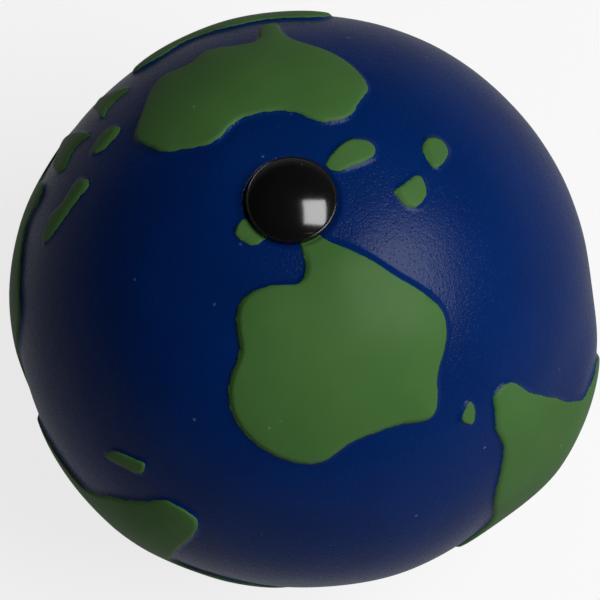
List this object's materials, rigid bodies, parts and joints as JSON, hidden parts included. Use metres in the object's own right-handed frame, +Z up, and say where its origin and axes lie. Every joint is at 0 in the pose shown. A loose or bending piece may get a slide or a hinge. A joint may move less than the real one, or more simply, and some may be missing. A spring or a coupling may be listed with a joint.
{
  "type": "globe stress ball",
  "caption": "Squeezable foam globe ball with raised green lands on a blue sea, a domed cord stopper on top and a flat cord eyelet below.",
  "frame": {"origin": "centre of the eyelet flange's flat outer face, which the ball stands on", "axes": "+Z up the cord channel to the domed stopper; -Y is the side where the southern continent lies"},
  "size_m": [0.069, 0.0681, 0.0706],
  "materials": {
    "ocean_blue": "satin painted skin on foam, fine orange peel",
    "land_green": "satin paint on raised foam",
    "stopper_black": "glossy moulded plastic"
  },
  "bodies": {
    "ball": {"foam_ball": "ocean_blue", "cord_eyelet": "stopper_black", "land_africa": "land_green", "land_antarctica": "land_green", "land_australia": "land_green", "land_british_isles": "land_green", "land_eurasia": "land_green", "land_greenland": "land_green", "land_iceland": "land_green", "land_indonesia": "land_green", "land_japan": "land_green", "land_madagascar": "land_green", "land_new_guinea": "land_green", "land_new_zealand": "land_green", "land_north_america": "land_green", "land_south_america": "land_green", "land_south_sea_islets": "land_green", "land_tasmania": "land_green"},
    "stopper": {"stopper_stem": "stopper_black"},
    "cap": {"stopper_cap": "stopper_black"}
  },
  "joints": [
    {"name": "squeeze", "type": "slide", "parent": "ball", "child": "stopper", "axis": [0, 0, 1], "range_m": [-0.027, 0], "stiffness_N_per_m": 2500, "deforming": ["foam_ball", "land_africa", "land_antarctica", "land_australia", "land_british_isles", "land_eurasia", "land_greenland", "land_iceland", "land_indonesia", "land_japan", "land_madagascar", "land_new_guinea", "land_new_zealand", "land_north_america", "land_south_america", "land_south_sea_islets", "land_tasmania"]},
    {"name": "cap_spin", "type": "hinge", "parent": "stopper", "child": "cap", "pos_m": [0, 0, 0.068], "axis": [0, 0, 1], "continuous": true}
  ]
}
